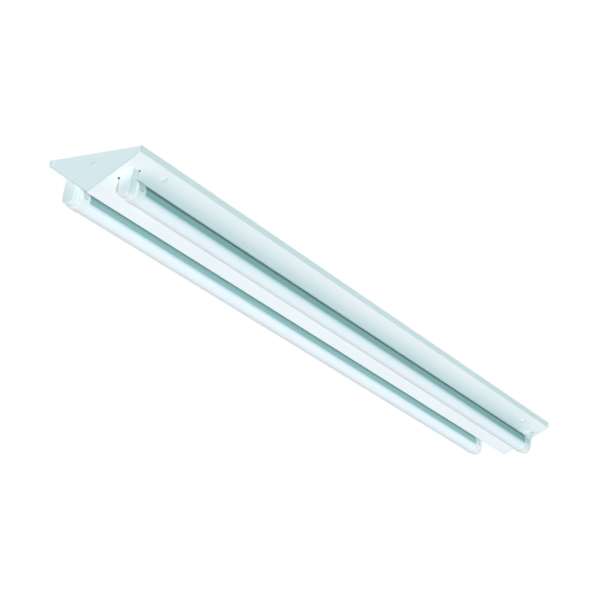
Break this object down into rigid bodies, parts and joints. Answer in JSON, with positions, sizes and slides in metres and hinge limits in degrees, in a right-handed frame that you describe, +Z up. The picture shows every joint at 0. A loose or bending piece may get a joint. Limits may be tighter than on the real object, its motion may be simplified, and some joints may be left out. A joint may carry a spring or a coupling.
{
  "type": "led tube light fixture",
  "caption": "Ceiling light with a white V-shaped sheet housing, twist-in lamp holders through its slopes and LED tubes with opal fronts.",
  "frame": {"origin": "middle of the ceiling face, the flat back of the chassis", "axes": "+Z up at the ceiling, +X along the lamps, towards the end called far; +Y towards the left lamp"},
  "size_m": [1.258, 0.182, 0.07],
  "materials": {
    "white_paint": "smooth satin white powder coat",
    "zinc_steel": "zinc-coated sheet",
    "fastener_steel": "bright zinc plate",
    "holder_plastic": "white moulded plastic, satin",
    "rotor_plastic": "white moulded plastic, dull",
    "contact_bronze": "spring bronze",
    "heat_sink_metal": "extruded, anodised, cool grey-green",
    "opal_plastic": "opal, translucent, satin",
    "cap_plastic": "white moulded plastic with ribs",
    "board_white": "white solder mask",
    "chip_yellow": "phosphor",
    "driver_green": "circuit board and parts",
    "pin_brass": "plated",
    "terminal_plastic": "moulded, dull",
    "button_plastic": "moulded, orange",
    "bush_rubber": "soft black",
    "saddle_nylon": "natural nylon",
    "lead_live": "black insulation",
    "lead_neutral": "white insulation",
    "lead_earth": "green insulation"
  },
  "bodies": {
    "fixture": {"bracket_rivets": "fastener_steel", "cable_bush": "bush_rubber", "chassis": "zinc_steel", "contacts_far_left": "contact_bronze", "contacts_far_right": "contact_bronze", "contacts_near_left": "contact_bronze", "contacts_near_right": "contact_bronze", "earth_lead": "lead_earth", "earth_lug": "pin_brass", "earth_screw": "pin_brass", "end_plate_far": "white_paint", "end_plate_near": "white_paint", "end_plate_screws": "white_paint", "holder_body_far_left": "holder_plastic", "holder_body_far_right": "holder_plastic", "holder_body_near_left": "holder_plastic", "holder_body_near_right": "holder_plastic", "holder_cover_far_left": "holder_plastic", "holder_cover_far_right": "holder_plastic", "holder_cover_near_left": "holder_plastic", "holder_cover_near_right": "holder_plastic", "holder_screws": "fastener_steel", "lead_far_left": "lead_neutral", "lead_far_right": "lead_neutral", "lead_near_left": "lead_live", "lead_near_right": "lead_live", "lead_saddles": "saddle_nylon", "reflector": "white_paint", "reflector_bracket_far": "zinc_steel", "reflector_bracket_near": "zinc_steel", "reflector_nuts": "fastener_steel", "reflector_screws": "white_paint", "socket_bracket_far": "zinc_steel", "socket_bracket_near": "zinc_steel", "terminal_block": "terminal_plastic", "terminal_screw": "fastener_steel"},
    "lamp_left": {"heat_sink_left": "heat_sink_metal", "diffuser_left": "opal_plastic", "led_board_left": "board_white", "led_chips_left": "chip_yellow", "driver_board_left": "driver_green", "pins_left": "pin_brass", "end_cap_near_left": "cap_plastic", "end_cap_far_left": "cap_plastic"},
    "lamp_right": {"heat_sink_right": "heat_sink_metal", "diffuser_right": "opal_plastic", "led_board_right": "board_white", "led_chips_right": "chip_yellow", "driver_board_right": "driver_green", "pins_right": "pin_brass", "end_cap_near_right": "cap_plastic", "end_cap_far_right": "cap_plastic"},
    "rotor_near_left": {"rotor_near_left": "rotor_plastic"},
    "rotor_near_right": {"rotor_near_right": "rotor_plastic"},
    "rotor_far_left": {"rotor_far_left": "rotor_plastic"},
    "rotor_far_right": {"rotor_far_right": "rotor_plastic"},
    "release_button_1": {"release_button_1": "button_plastic"},
    "release_button_2": {"release_button_2": "button_plastic"},
    "release_button_3": {"release_button_3": "button_plastic"}
  },
  "joints": [
    {"name": "lamp_left_twist", "type": "hinge", "parent": "fixture", "child": "lamp_left", "pos_m": [0, 0.055, -0.05281], "axis": [1, 0, 0], "range_deg": [-90, 90]},
    {"name": "rotor_near_left_turn", "type": "hinge", "parent": "fixture", "child": "rotor_near_left", "pos_m": [0, 0.055, -0.05281], "axis": [1, 0, 0], "range_deg": [-90, 90]},
    {"name": "rotor_far_left_turn", "type": "hinge", "parent": "fixture", "child": "rotor_far_left", "pos_m": [0, 0.055, -0.05281], "axis": [1, 0, 0], "range_deg": [-90, 90]},
    {"name": "lamp_right_twist", "type": "hinge", "parent": "fixture", "child": "lamp_right", "pos_m": [0, -0.055, -0.05281], "axis": [1, 0, 0], "range_deg": [-90, 90]},
    {"name": "rotor_near_right_turn", "type": "hinge", "parent": "fixture", "child": "rotor_near_right", "pos_m": [0, -0.055, -0.05281], "axis": [1, 0, 0], "range_deg": [-90, 90]},
    {"name": "rotor_far_right_turn", "type": "hinge", "parent": "fixture", "child": "rotor_far_right", "pos_m": [0, -0.055, -0.05281], "axis": [1, 0, 0], "range_deg": [-90, 90]},
    {"name": "release_button_1_press", "type": "slide", "parent": "fixture", "child": "release_button_1", "axis": [0, 0, 1], "range_m": [0, 0.0025], "stiffness_N_per_m": 600, "springref_m": -0.001},
    {"name": "release_button_2_press", "type": "slide", "parent": "fixture", "child": "release_button_2", "axis": [0, 0, 1], "range_m": [0, 0.0025], "stiffness_N_per_m": 600, "springref_m": -0.001},
    {"name": "release_button_3_press", "type": "slide", "parent": "fixture", "child": "release_button_3", "axis": [0, 0, 1], "range_m": [0, 0.0025], "stiffness_N_per_m": 600, "springref_m": -0.001}
  ],
  "couplings": [
    {"joint": "rotor_near_left_turn", "follows": "lamp_left_twist", "ratio": 1},
    {"joint": "rotor_far_left_turn", "follows": "lamp_left_twist", "ratio": 1},
    {"joint": "rotor_near_right_turn", "follows": "lamp_right_twist", "ratio": 1},
    {"joint": "rotor_far_right_turn", "follows": "lamp_right_twist", "ratio": 1}
  ]
}
